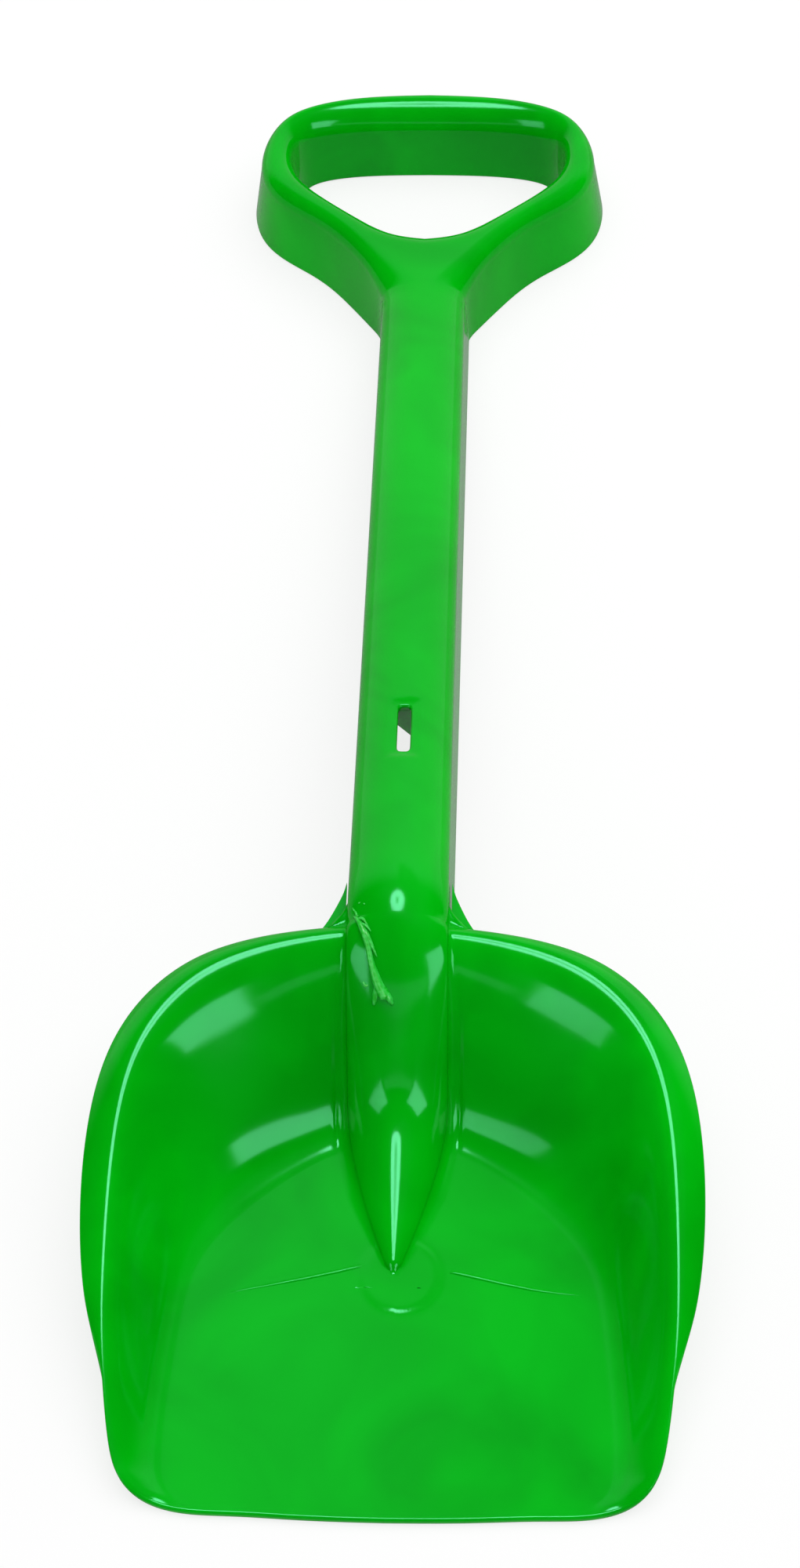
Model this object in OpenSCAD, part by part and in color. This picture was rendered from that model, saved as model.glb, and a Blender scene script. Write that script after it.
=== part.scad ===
/* [Scoop] */
// Length of the scoop, from the digging edge to the crest of the rim at the shoulder
scoop_l = 155.5; // [120:0.5:200]
// Width of the scoop between the crests of its rim
scoop_w = 157; // [130:1:200]
// Height of the rim at the shoulder
scoop_h = 50; // [36:1:54]
// Wall thickness of the whole moulding
wall = 2.5; // [1.8:0.1:3]
// Width of the rolled rim outside its crest
rim_w = 8.5; // [5:0.5:11]
// Drop of the rolled rim from its crest to its lip
rim_drop = 4; // [2:0.5:6]
// Fillet at the foot of the walls
foot_r = 4.5; // [3:0.5:8]
/* [Spine] */
// Height of the spine's crown over the rim at the shoulder
spine_h = 12; // [10:0.5:18]
// Distance from the digging edge to the nose of the spine
nose_y = 73.5; // [60:0.5:85]
// Width of the blunt nose
nose_w = 3; // [2:0.5:8]
// Height of the nose over the floor
nose_h = 1.8; // [0.4:0.1:2.4]
// Length of the rounded bend past the shoulder, where the shaft's crown turns down into the spine
bend_l = 16.5; // [8:0.5:24]
/* [Shaft] */
// Length of the shaft, from the shoulder to the crotch of the grip
shaft_l = 259.5; // [180:0.5:340]
// Width across the crown's shoulders at the scoop end
shaft_w = 28.4; // [26:0.2:34]
// Width across the crown's shoulders at the grip end
neck_w = 27; // [24:0.2:32]
// Height of the crown over the back edge, along the shaft and the grip
depth = 28; // [22:0.5:34]
// Height of the rounded part of the shaft's crown
crown_h = 9; // [6:0.5:12]
// Width of the hanging slot
slot_w = 4.6; // [4.4:0.1:6]
// Length of the hanging slot
slot_l = 17; // [10:0.5:30]
// Distance from the shoulder to the middle of the slot
slot_y = 67.5; // [50:0.5:100]
// Corner radius of the slot
slot_r = 1.2; // [0.5:0.1:2]
/* [Ribs] */
// Thickness of the zigzag ribs
rib_t = 1.8; // [1.2:0.1:2.4]
// Distance between one rib's middle and the next
rib_pitch = 30; // [26:1:36]
// Distance that the ribs stay back from the open edge
rib_back = 7; // [2:0.5:10]
// Length of each gusset along the shaft, from the shoulder
gusset_l = 18.5; // [10:0.5:30]
// Width of each gusset along the rim
gusset_w = 7.5; // [5:0.5:14]
// Thickness of the gussets
gusset_t = 2; // [1.4:0.1:2.4]
/* [Grip] */
// Length of the grip, from its crotch to its far edge
grip_l = 90; // [80:0.5:120]
// Width of the grip at its back edge
grip_w = 118; // [100:1:140]
// Width of the band along the cross bar
bar_w = 11; // [9:0.5:15]
// Width of the band along the legs
leg_w = 10; // [8:0.5:13]
// Outward flare of the outer skirt at its back edge
flare = 3.2; // [1:0.2:4]
// Inward flare of the inner skirt at its back edge
hole_flare = 1.8; // [0.6:0.2:3]
// Height of the rounded front of the band
band_h = 6; // [4:0.5:8]
/* [Hidden] */
green = [0, 0.72, 0.18];
overall_l = scoop_l + shaft_l + grip_l;
// Running clearance between a rib or gusset and the wall that carries it
seat_gap = 0.2;
// Distance that a cutting tool runs past what it cuts
overrun = 5;
// Side draft of the shaft, as width gained per unit of depth
draft_share = 0.06;
// Exponent of the superellipse that rounds the shaft's crown and the grip's band
round_share = 0.7;
// Steps in a rounded crown, along a curve's span, and down a wall
crown_steps = 6;
span_steps = 4;
wall_steps = 8;

// Crest of the rim from the shoulder to the digging corner, as shares of half the scoop's width and its length
crest_shares = [[0.3, 0.994], [0.5, 0.974], [0.69, 0.935], [0.83, 0.872], [0.92, 0.795], [0.97, 0.7],
    [0.993, 0.585], [1, 0.47], [1, 0.37], [0.994, 0.295], [0.981, 0.225], [0.962, 0.15], [0.936, 0.087],
    [0.89, 0.052], [0.81, 0.032]];
// Digging edge from the corner to the middle, in the same shares
tip_shares = [[0.68, 0.017], [0.5, 0.008], [0.27, 0.002], [0, 0]];
// Width of the rolled rim at each of those points, from the spine on, as shares of its full width
roll_shares = [0.36, 0.38, 0.5, 0.68, 0.85, 0.95, 1, 1, 0.9, 0.68, 0.36, 0.11, 0.08, 0.08, 0.08, 0.08, 0.08];
// Foot of the walls, point by point below the crest from the shoulder to the digging corner: shares of the width
// between the spine's side and the scoop's, and of the scoop's length
foot_shares = [[0, 0.716], [0.105, 0.698], [0.269, 0.652], [0.409, 0.603], [0.515, 0.556], [0.592, 0.513],
    [0.647, 0.465], [0.678, 0.405], [0.695, 0.341], [0.707, 0.283], [0.717, 0.235], [0.724, 0.187],
    [0.727, 0.135], [0.722, 0.089], [0.701, 0.06], [0.662, 0.042], [0.597, 0.032]];
// Power of the distance from the digging edge with which the rim rises
rise_share = 0.85;
// Height that is left of the walls where they run out, as a share of the wall's thickness
fade_share = 0.15;
// Crown from the nose over the bend to the straight shaft: shares of the distance, and of the height over the nose
ridge_shares = [[0, 0], [0.117, 0.068], [0.235, 0.133], [0.35, 0.198], [0.411, 0.237], [0.467, 0.281],
    [0.498, 0.328], [0.574, 0.502], [0.645, 0.668], [0.729, 0.827], [0.805, 0.918], [0.902, 0.988], [1, 1]];
// Part of the spine, from the nose, over which it widens
taper_share = 0.58;
// Outer edge of the grip's front from the crotch to the middle of the bar, as shares of half width and length
loop_shares = [[0.287, 0.068], [0.385, 0.175], [0.59, 0.325], [0.833, 0.434], [0.96, 0.535], [1, 0.664],
    [0.953, 0.8], [0.797, 0.914], [0.466, 0.982], [0, 1]];
// Edge of the grip's hole, point by point beside the outer edge, in shares of the hole
hole_shares = [[0, 0], [0.23, 0.033], [0.372, 0.1], [0.59, 0.229], [0.842, 0.413], [0.963, 0.56], [1, 0.708],
    [0.954, 0.847], [0.81, 0.94], [0.48, 0.99], [0, 1]];
// Distance between the shaft's end and the hole, as a share of the grip's length
crotch_share = 0.259;
// Spans of the grip over which the shaft's section turns into the band's, and spans up to the bar
blend_spans = 2;
yoke_spans = 7;
// Hollow edge of a gusset from the shaft to the rim: shares of its width and length
gusset_shares = [[0, 1], [0.12, 0.8], [0.33, 0.58], [0.6, 0.34], [0.84, 0.17], [1, 0.09]];

function flat(rows) = [for (r = rows) each r];
function part_of(rows, a, b) = [for (i = [a : b]) rows[i]];
function mix(a, b, t) = a + (b - a) * t;
function unit(v) = v / norm(v);
function scaled(v, x, y) = [v[0] * x, v[1] * y];
function ease(t) = t * t * (3 - 2 * t);

// Smooth curve through a list of points, of which the first and last only steer its ends
function bend(a, b, c, d, t) =
    (2 * b + (c - a) * t + (2 * a - 5 * b + 4 * c - d) * t * t + (3 * b - a - 3 * c + d) * t * t * t) / 2;
function curve(p) = concat(
    [for (i = [1 : len(p) - 3], k = [0 : span_steps - 1])
        bend(p[i - 1], p[i], p[i + 1], p[i + 2], k / span_steps)],
    [p[len(p) - 2]]);
function before(p) = 2 * p[0] - p[1];
function after(p) = 2 * p[len(p) - 1] - p[len(p) - 2];
function open_curve(p) = curve(concat([before(p)], p, [after(p)]));
// Curve that ends square to the middle plane
function to_middle(p) = curve(concat([before(p)], p, [scaled(p[len(p) - 2], -1, 1)]));
// Direction of a line of points at one of them, taken over so many neighbours that it turns evenly
function heading(p, i, reach = 1) = unit(p[min(i + reach, len(p) - 1)] - p[max(i - reach, 0)]);
// Height at one distance on a line of points whose distances rise
function height_at(p, y, i = 0) =
    i < len(p) - 2 && y > p[i + 1][0] ? height_at(p, y, i + 1)
        : mix(p[i][1], p[i + 1][1], (y - p[i][0]) / (p[i + 1][0] - p[i][0]));

// Closed solid between two grids of points: rows crossed with columns point out of the first one
module sheet(outer, inner) {
    rows = len(outer);
    cols = len(outer[0]);
    half = rows * cols;
    function at(i, j) = i * cols + j;
    function quad(a, b, c, d) = [[a, b, c], [a, c, d]];
    function edge(a, b) = quad(a, half + a, half + b, b);
    polyhedron(points = concat(flat(outer), flat(inner)), faces = concat(
        [for (i = [0 : rows - 2], j = [0 : cols - 2])
            each quad(at(i, j), at(i, j + 1), at(i + 1, j + 1), at(i + 1, j))],
        [for (i = [0 : rows - 2], j = [0 : cols - 2])
            each quad(half + at(i + 1, j), half + at(i + 1, j + 1), half + at(i, j + 1), half + at(i, j))],
        [for (i = [0 : rows - 2]) each edge(at(i + 1, 0), at(i, 0))],
        [for (i = [0 : rows - 2]) each edge(at(i, cols - 1), at(i + 1, cols - 1))],
        [for (j = [0 : cols - 2]) each edge(at(0, j), at(0, j + 1))],
        [for (j = [0 : cols - 2]) each edge(at(rows - 1, j + 1), at(rows - 1, j))]));
}

module placed() {
    translate([0, -overall_l / 2, 0]) color(green) children();
}

module mirrored() {
    mirror([1, 0, 0]) children();
}

// Arched section from its right foot over the crown to the left foot. foot_hw is its half width at the
// foot, z0 and z1 are the heights of foot and crown, c that of the crown's rounding, and its inside lies
// in by the inset.
function arch(foot_hw, z0, z1, c, inset) =
    let (top_hw = foot_hw - (z1 - z0 - c) * draft_share,
         hw = max(top_hw - inset, top_hw * draft_share),
         rise = max(c - inset, c * draft_share),
         half = [for (k = [0 : crown_steps])
             let (a = 90 * k / crown_steps)
             [hw * pow(cos(a), round_share), z1 - c + rise * pow(sin(a), round_share)]])
    concat([[foot_hw - inset, z0]], part_of(half, 0, crown_steps - 1), [[0, z1 - c + rise]],
        [for (k = [crown_steps - 1 : -1 : 0]) scaled(half[k], -1, 1)], [[inset - foot_hw, z0]]);
function crown_over(z, z1) = min(crown_h, (z1 - z) * (1 - draft_share));
function at_y(section, y) = [for (p = section) [p[0], y, p[1]]];

// Shaft: its crown runs in one straight line from the front of the grip to the bend, and rounds over that
// into the spine, while its back edge stays straight
shoulder_z = scoop_h + spine_h;
neck_y = scoop_l + shaft_l;
bend_y = scoop_l + bend_l;
function crown_line(y) = mix(shoulder_z, depth, (y - scoop_l) / shaft_l);
function crown_z(y) = y < bend_y ? height_at(ridge, y) : crown_line(y);
function crown_hw(y) = mix(shaft_w, neck_w, (y - scoop_l) / shaft_l) / 2;
function shaft_hw(y) = crown_hw(y) + (depth - crown_h) * draft_share;
function shaft_section(y, inset) =
    at_y(arch(shaft_hw(y), crown_line(y) - depth, crown_z(y),
        y < bend_y ? crown_over(scoop_h, crown_z(y)) : crown_h, inset), y);
shaft_stations = concat([for (k = [0 : span_steps]) mix(scoop_l, bend_y, k / span_steps)], [neck_y]);

// Each side of the shaft runs on below the back wall until its back edge reaches that wall
function tail_row(y, t, inset) =
    let (low = crown_line(y) - depth, high = wall_under(0, t) - seat_gap, x = shaft_hw(y) - inset)
    [[x, y, low], [x - (high - low) * draft_share, y, high]];
function tail_rows(inset) = concat(
    [for (k = [wall_steps : -1 : 0])
        let (t = k / wall_steps, y = wall_plan(0, t)[1])
        if (wall_under(0, t) - crown_line(y) + depth > wall) tail_row(y, t, inset)],
    [tail_row(scoop_l + wall, 0, inset)]);
module right_tail() sheet(tail_rows(0), tail_rows(wall));

module shaft() placed() difference() {
    union() {
        sheet([for (y = shaft_stations) shaft_section(y, 0)], [for (y = shaft_stations) shaft_section(y, wall)]);
        right_tail();
        mirrored() right_tail();
    }
    translate([0, scoop_l + slot_y, crown_z(scoop_l + slot_y) - crown_h]) linear_extrude(crown_h + overrun)
        offset(slot_r) square([slot_w - 2 * slot_r, slot_l - 2 * slot_r], center = true);
}

// Zigzag ribs stand across the hollow shaft and lean to either side in turn, with the slot between two
function rib_row(y, lean, top, shift) =
    let (section = arch(crown_hw(y) - seat_gap, 0, depth - seat_gap, crown_h, wall), n = len(section) - 2)
    [for (k = [1 : n])
        let (x = section[k][0], yk = y + lean * x)
        [x, yk + shift, crown_z(yk) - depth + (top ? section[k][1] : rib_back)]];

module rib(y, lean) {
    half_t = rib_t / 2 * norm([1, lean]);
    sheet([for (top = [false, true]) rib_row(y, lean, top, -half_t)],
        [for (top = [false, true]) rib_row(y, lean, top, half_t)]);
}

module shaft_ribs() placed() {
    first = ceil((rib_pitch - slot_y) / rib_pitch - 0.5);
    past = floor((shaft_l - slot_y - rib_pitch) / rib_pitch - 0.5);
    for (k = [first : past])
        rib(scoop_l + slot_y + (k + 0.5) * rib_pitch, k % 2 == 0 ? -1 : 1);
}

// Walls of the scoop: the crest of the rim, the foot below it, and each wall's height and run
half_w = scoop_w / 2;
spine_l = scoop_l - nose_y;
function spine_hw(y) =
    mix(nose_w / 2, crown_hw(scoop_l) + (spine_h - crown_h) * draft_share,
        sin(90 * min(1, (y - nose_y) / (spine_l * taper_share))));
crest = open_curve(concat([[spine_hw(scoop_l), scoop_l]],
    [for (p = crest_shares) scaled(p, half_w, scoop_l)], [scaled(tip_shares[0], half_w, scoop_l)]));
foot = open_curve([for (p = foot_shares) [mix(shaft_w / 2, half_w, p[0]), p[1] * scoop_l]]);
ends = len(crest) - 1;
function outward(i) = let (h = heading(crest, i, span_steps)) i == 0 ? [0, 1] : [-h[1], h[0]];
function wall_rise(i) = max(wall * fade_share,
    (scoop_h - wall) * pow(max(0, crest[i][1] / scoop_l), rise_share) * min(1, crest[i][1] / foot_r));
function wall_run(i) = norm(crest[i] - foot[i]);
function wall_plan(i, t) =
    let (p = mix(crest[i], foot[i], t))
    i == 0 ? [spine_hw(p[1]), p[1]] : p;
function wall_top(i, t) = wall + wall_rise(i) * (1 - ease(t));
function wall_under(i, t) =
    max(0, wall_top(i, t) - wall * norm([1, wall_rise(i) / wall_run(i) * 6 * t * (1 - t)]));

module right_wall_solid() {
    steps = [for (k = [wall_steps : -1 : 0]) k / wall_steps];
    sheet([for (i = [0 : ends]) [for (t = steps) concat(wall_plan(i, t), wall_top(i, t))]],
        [for (i = [0 : ends]) [for (t = steps) concat(wall_plan(i, t), wall_under(i, t))]]);
}
module right_wall() placed() right_wall_solid();
module left_wall() placed() mirrored() right_wall_solid();

// Rolled rim: it falls away outside the crest, and narrows towards the spine and the digging corners
function roll(i) =
    let (k = min(floor(i / span_steps), len(roll_shares) - 2))
    mix(roll_shares[k], roll_shares[k + 1], i / span_steps - k);
function rim_plan(i, t) =
    crest[i] + outward(i) * rim_w * roll(i) * t + (i == 0 ? [seat_gap * t + rim_drop * draft_share * t, 0] : [0, 0]);
function rim_row(i, under) =
    [for (k = [0 : crown_steps])
        let (t = k / crown_steps)
        concat(rim_plan(i, t), wall_top(i, 0) - rim_drop * roll(i) * t * t - under)];

module right_rim_solid() sheet([for (i = [0 : ends]) rim_row(i, 0)], [for (i = [0 : ends]) rim_row(i, wall)]);
module right_rim() placed() right_rim_solid();
module left_rim() placed() mirrored() right_rim_solid();

// Spine: stations run along the floor from the nose and then up the back wall to the shoulder
foot_y = wall_plan(0, 1)[1];
foot_steps = 2 * wall_steps;
ridge_points = [for (p = ridge_shares)
    [mix(nose_y, bend_y, p[0]), mix(wall + nose_h, crown_line(bend_y), p[1])]];
ridge = curve(concat([before(ridge_points)], ridge_points, [[bend_y + bend_l, crown_line(bend_y + bend_l)]]));
stations = concat(
    [for (k = [0 : foot_steps - 1]) [mix(nose_y, foot_y, k / foot_steps), wall, 0]],
    [for (k = [wall_steps : -1 : 0])
        let (t = k / wall_steps) [wall_plan(0, t)[1], wall_top(0, t), wall_under(0, t)]]);
function ridge_slope(y) = (height_at(ridge, y + wall / 2) - height_at(ridge, y - wall / 2)) / wall;
function spine_arch(s, inset) =
    let (z1 = height_at(ridge, s[0])) at_y(arch(spine_hw(s[0]), s[1], z1, crown_over(s[1], z1), inset), s[0]);
function spine_outer(s) = spine_arch(s, 0);
function spine_inner(s) =
    let (drop = wall * norm([1, ridge_slope(s[0])]),
         section = spine_arch(s, wall),
         n = len(section) - 1, low = section[crown_steps + 1][2] - height_at(ridge, s[0]) + drop)
    [for (k = [0 : n])
        k == 0 || k == n ? [spine_hw(s[0]) * (k == 0 ? 1 : -1), s[0], s[2]]
            : [section[k][0], s[0], max(s[2], section[k][2] - low)]];

module spine() placed() sheet([for (s = stations) spine_outer(s)], [for (s = stations) spine_inner(s)]);

// Floor: one flat plate from the walls' feet and the digging edge back to the foot of the spine
tip_edge = to_middle(concat([rim_plan(ends, 1)], [for (k = [1 : len(tip_shares) - 1])
    scaled(tip_shares[k], half_w, scoop_l)]));
half_floor = concat(
    [for (k = [0 : foot_steps]) let (y = mix(nose_y, foot_y, k / foot_steps)) [spine_hw(y), y]],
    [for (i = [1 : ends]) wall_plan(i, 1)], [crest[ends]], tip_edge);

module floor_pan() placed() linear_extrude(wall)
    polygon(concat(half_floor, [for (k = [len(half_floor) - 2 : -1 : 0]) scaled(half_floor[k], -1, 1)]));

// Gussets: level webs that fill the corners between the shaft's sides and the back of the rim, under its lip
gusset_z = scoop_h - rim_drop * roll_shares[0] - wall - seat_gap - gusset_t;
gusset_x = crown_hw(scoop_l) + (shoulder_z - crown_h - gusset_z) * draft_share + seat_gap;
gusset_edge = open_curve([for (p = gusset_shares) [gusset_x + p[0] * gusset_w, scoop_l + p[1] * gusset_l]]);
module right_gusset_solid() translate([0, 0, gusset_z]) linear_extrude(gusset_t)
    polygon(concat([[gusset_x, gusset_edge[len(gusset_edge) - 1][1]]], gusset_edge));
module right_gusset() placed() right_gusset_solid();
module left_gusset() placed() mirrored() right_gusset_solid();

// Grip: a hollow band round the hole, open at the back like the shaft, that grows out of the shaft's end
front_w = grip_w / 2 - flare;
front_l = grip_l - flare;
loop = to_middle(concat([[crown_hw(neck_y), 0]], [for (p = loop_shares) scaled(p, front_w, front_l)]));
hole_y = crotch_share * grip_l;
hole = curve(concat([scaled(hole_shares[1], leg_w - front_w, front_l - bar_w - hole_y)],
    [for (p = concat(hole_shares, [scaled(hole_shares[len(hole_shares) - 2], -1, 1)]))
        scaled(p, front_w - leg_w, front_l - bar_w - hole_y)]));
grip_ends = len(loop) - 1;
function blend(j) = ease(min(1, j / (blend_spans * span_steps)));
function loop_out(j) = let (h = heading(loop, j)) j == 0 ? [1, 0] : j == grip_ends ? [0, 1] : [h[1], -h[0]];
function hole_in(j) =
    let (h = heading(hole, j)) j == 0 ? [0, 1] : j == grip_ends ? [0, -1] : [-h[1], h[0]];
function grip_row(j, inset) =
    let (o = loop[j] - loop_out(j) * inset,
         h = hole[j] + [0, hole_y] - hole_in(j) * inset,
         mid = mix([0, 0], (loop[j] + hole[j] + [0, hole_y]) / 2, blend(j)),
         c = mix(crown_h, band_h, blend(j)),
         skirt = mix((depth - crown_h) * draft_share, flare, blend(j)),
         angles = [for (k = [0 : crown_steps]) 90 * k / crown_steps])
    concat([concat(o + loop_out(j) * skirt, 0)],
        [for (a = angles) a == 90 ? concat(mid, depth - inset)
            : concat(mix(mid, o, pow(cos(a), round_share)), depth - c + (c - inset) * pow(sin(a), round_share))],
        [for (k = [crown_steps - 1 : -1 : 0])
            let (a = angles[k])
            concat(mix(mid, h, pow(cos(a), round_share)),
                depth - band_h + (band_h - inset) * pow(sin(a), round_share))],
        [concat(h + hole_in(j) * hole_flare, 0)]);
function to_left(row) = [for (p = row) [-p[0], p[1], p[2]]];
yoke_end = yoke_spans * span_steps;

module grip_placed() placed() translate([0, neck_y, 0]) children();
module half_yoke() sheet([for (j = [0 : yoke_end]) grip_row(j, 0)], [for (j = [0 : yoke_end]) grip_row(j, wall)]);
module grip_yoke() grip_placed() {
    half_yoke();
    mirrored() half_yoke();
}
function bar_rows(inset) = concat([for (j = [yoke_end : grip_ends]) grip_row(j, inset)],
    [for (j = [grip_ends - 1 : -1 : yoke_end]) to_left(grip_row(j, inset))]);
module grip_bar() grip_placed() sheet(bar_rows(0), bar_rows(wall));

floor_pan();
spine();
left_wall();
right_wall();
left_rim();
right_rim();
shaft();
shaft_ribs();
left_gusset();
right_gusset();
grip_yoke();
grip_bar();
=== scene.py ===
import math

import bpy
import numpy as np
from mathutils import Matrix, Vector


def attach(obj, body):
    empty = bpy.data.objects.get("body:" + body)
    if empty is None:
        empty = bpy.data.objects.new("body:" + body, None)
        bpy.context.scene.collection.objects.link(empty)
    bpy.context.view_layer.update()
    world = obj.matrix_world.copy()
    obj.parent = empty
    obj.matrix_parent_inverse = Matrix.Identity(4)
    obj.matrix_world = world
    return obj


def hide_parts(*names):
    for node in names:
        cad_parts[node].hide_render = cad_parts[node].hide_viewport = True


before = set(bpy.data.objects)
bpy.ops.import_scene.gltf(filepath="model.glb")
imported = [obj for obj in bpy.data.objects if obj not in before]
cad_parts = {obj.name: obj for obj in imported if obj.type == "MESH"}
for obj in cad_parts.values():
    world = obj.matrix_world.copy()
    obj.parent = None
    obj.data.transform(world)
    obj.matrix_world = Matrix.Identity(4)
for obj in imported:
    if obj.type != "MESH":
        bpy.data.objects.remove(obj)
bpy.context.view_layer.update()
print("frame:", len(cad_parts), "nodes")

# Helpers for surfaces


def mix(a, b, t):
    # a where t is 0, b where t is 1, in proportion between
    return a + (b - a) * t


def ease(t):
    # 0 to 1 with level ends: three times the square less twice the cube
    t = np.clip(t, 0, 1)
    return t * t * (3 - 2 * t)


def grid(x, y, z):
    # three coordinates, each spread to the same rows and columns, put together as points
    return np.stack(np.broadcast_arrays(x, y, z), -1)


def smoothLine(points, steps, ghostStart=None, ghostEnd=None):
    # Catmull-Rom: each span is the cubic through its two points, with the slopes of their neighbours
    p = np.asarray(points, float)
    first = 2 * p[0] - p[1] if ghostStart is None else ghostStart
    last = 2 * p[-1] - p[-2] if ghostEnd is None else ghostEnd
    p = np.vstack([first, p, last])
    t = np.arange(steps)[:, None] / steps
    a, b, c, d = (q[:, None, :] for q in (p[:-3], p[1:-2], p[2:-1], p[3:]))
    spans = (2 * b + (c - a) * t + (2 * a - 5 * b + 4 * c - d) * t ** 2
             + (3 * b - a - 3 * c + d) * t ** 3) / 2
    return np.vstack([spans.reshape(-1, p.shape[1]), p[-2]])


def relaxed(line, passes):
    # every inner point moves to the mean of itself and its neighbours, so that bends turn evenly
    line = np.array(line, float)
    for _ in range(passes):
        line[1:-1] = (line[:-2] + 2 * line[1:-1] + line[2:]) / 4
    return line


def headings(line, reach):
    # unit direction of the line at each point, between the points so many places before and after it
    n = np.arange(len(line))
    way = line[np.minimum(n + reach, len(line) - 1)] - line[np.maximum(n - reach, 0)]
    return way / np.linalg.norm(way, axis=1)[:, None]


def mirrored(patch):
    # the same patch on the left side, with its columns reversed so that it still faces out
    return (patch * [-1, 1, 1])[:, ::-1]


# Sizes that the whole moulding shares, in mm: x to the right, y from the digging edge to the grip, z up

moulding = {
    "length": 505.0,
    "scoopLength": 155.5,  # from the digging edge to the shoulder, where the shaft begins
    "wall": 2.5,
    "edgeRound": 0.9,      # radius of the rounding on every open edge
    "draft": 0.06,         # width that a skirt gains per unit of depth
    "crownHalf": 14.2,     # half width of the shaft at the shoulder
    "crownRise": 9.0,      # height of the shaft's round top over its sides
    "roundPower": 0.97,    # superellipse of the crowns: 1 is an ellipse, less is squarer
    "plateau": 0.03,       # flat middle of a crown, as a share of its half width
    "crownSteps": 14,
    "plateauSteps": 3,
    "sideSteps": 5,
    "skirtSteps": 7,
}
scoopLength = moulding["scoopLength"]
wall = moulding["wall"]
edge = moulding["edgeRound"]
draft = moulding["draft"]

patches = []   # (points as rows x columns x 3, node that the patch belongs to)

# Scoop walls and rolled rim

scoop = {
    "halfWidth": 78.5, "height": 50.0, "rimWidth": 8.5, "rimDrop": 4.0, "rimPower": 1.7,
    "rimFullRise": 9.0,    # the rim drops in full where its crest stands this high over the floor
    "leastLip": 0.2,
    "risePower": 0.85,     # the crest climbs with this power of the way back from the digging edge
    "riseStart": 5.85,     # it eases in over this length
    "cornerSpans": 2.6,    # and over this many spans at the digging corner
    "footShare": 0.36, "crestShare": 0.3, "crestTurn": 0.6,
    "spanSteps": 10, "wallSteps": 28, "rimSteps": 8, "smoothing": 24,
    "spineMargin": 19.5,   # where the wall's own surface begins, beside the spine
    # rim crest from the shoulder to the digging corner, as shares of half width and length
    "crest": [[0.3, 0.994], [0.5, 0.974], [0.69, 0.935], [0.83, 0.872], [0.92, 0.795], [0.97, 0.7],
              [0.993, 0.585], [1, 0.47], [1, 0.37], [0.994, 0.295], [0.981, 0.225], [0.962, 0.15],
              [0.936, 0.087], [0.89, 0.052], [0.81, 0.032], [0.68, 0.017]],
    "tip": [[0.5, 0.008], [0.27, 0.002], [0, 0]],
    "tipInset": 0.25,      # how far the digging edge's line lies in, besides the edge's rounding
    # foot of the wall below each of those points, from the middle of the back on
    "footBack": 0.712,
    "foot": [[0.18, 0.716], [0.267, 0.698], [0.401, 0.652], [0.516, 0.603], [0.603, 0.556], [0.666, 0.513],
             [0.711, 0.465], [0.736, 0.405], [0.75, 0.341], [0.76, 0.283], [0.768, 0.235], [0.774, 0.187],
             [0.776, 0.135], [0.772, 0.089], [0.755, 0.06], [0.723, 0.042], [0.67, 0.032]],
    # width of the rolled rim at each of them, as a share of its full width
    "roll": [0.36, 0.38, 0.5, 0.68, 0.85, 0.95, 1, 1, 0.9, 0.68, 0.36, 0.11, 0.08, 0.08, 0.08, 0.08, 0.08],
}
spanSteps, smoothing = scoop["spanSteps"], scoop["smoothing"]
outline = np.array(scoop["crest"] + scoop["tip"]) * [scoop["halfWidth"], scoopLength]
outline[-len(scoop["tip"]):, 1] += edge + scoop["tipInset"]
crestLine = smoothLine(np.vstack([[moulding["crownHalf"], scoopLength], outline]), spanSteps,
                       ghostEnd=outline[-2] * [-1, 1])
crestLine = relaxed(crestLine, smoothing)
spansAlong = np.arange(len(crestLine)) / spanSteps
rollAll = np.interp(spansAlong, np.arange(len(scoop["roll"])), scoop["roll"])
rollAll = relaxed(rollAll[:, None], smoothing)[:, 0]
outAll = headings(crestLine, spanSteps)
outAll = np.stack([-outAll[:, 1], outAll[:, 0]], 1)
wallEnd = len(scoop["crest"]) * spanSteps
cornerFade = ease((wallEnd - np.arange(len(crestLine))) / (scoop["cornerSpans"] * spanSteps))
riseAll = ((scoop["height"] - wall) * (np.maximum(crestLine[:, 1], 0) / scoopLength) ** scoop["risePower"]
           * ease(crestLine[:, 1] / scoop["riseStart"]) * cornerFade)
footAll = smoothLine(np.array(scoop["foot"]) * [scoop["halfWidth"], scoopLength], spanSteps)
footAll = relaxed(footAll, smoothing)
lipAll = np.maximum(scoop["rimWidth"] * rollAll - edge, scoop["leastLip"])

start = int(np.argmax(crestLine[:, 0] > scoop["spineMargin"]))
rowsOf = slice(start, wallEnd + 1)
wallDown = np.linspace(1, 0, scoop["wallSteps"] + 1)     # 1 at the foot, 0 at the crest
rimOut = np.linspace(0, 1, scoop["rimSteps"] + 1)[1:]    # from the crest to the rim's lip


def wallClimb(way):
    # share of the wall's height from foot to crest: the slope grows evenly over the foot's share of the way
    # and stays, then over the crest's share it falls with a power of the way left, so the crest turns tightly
    low, high, turn = scoop["footShare"], scoop["crestShare"], scoop["crestTurn"]
    left = np.minimum(1 - way, high) / high
    climb = (np.minimum(way, low) ** 2 / (2 * low) + np.clip(way - low, 0, 1 - low - high)
             + high / (1 + turn) * (1 - left ** (1 + turn)))
    return climb / (1 - low / 2 - high + high / (1 + turn))


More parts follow.
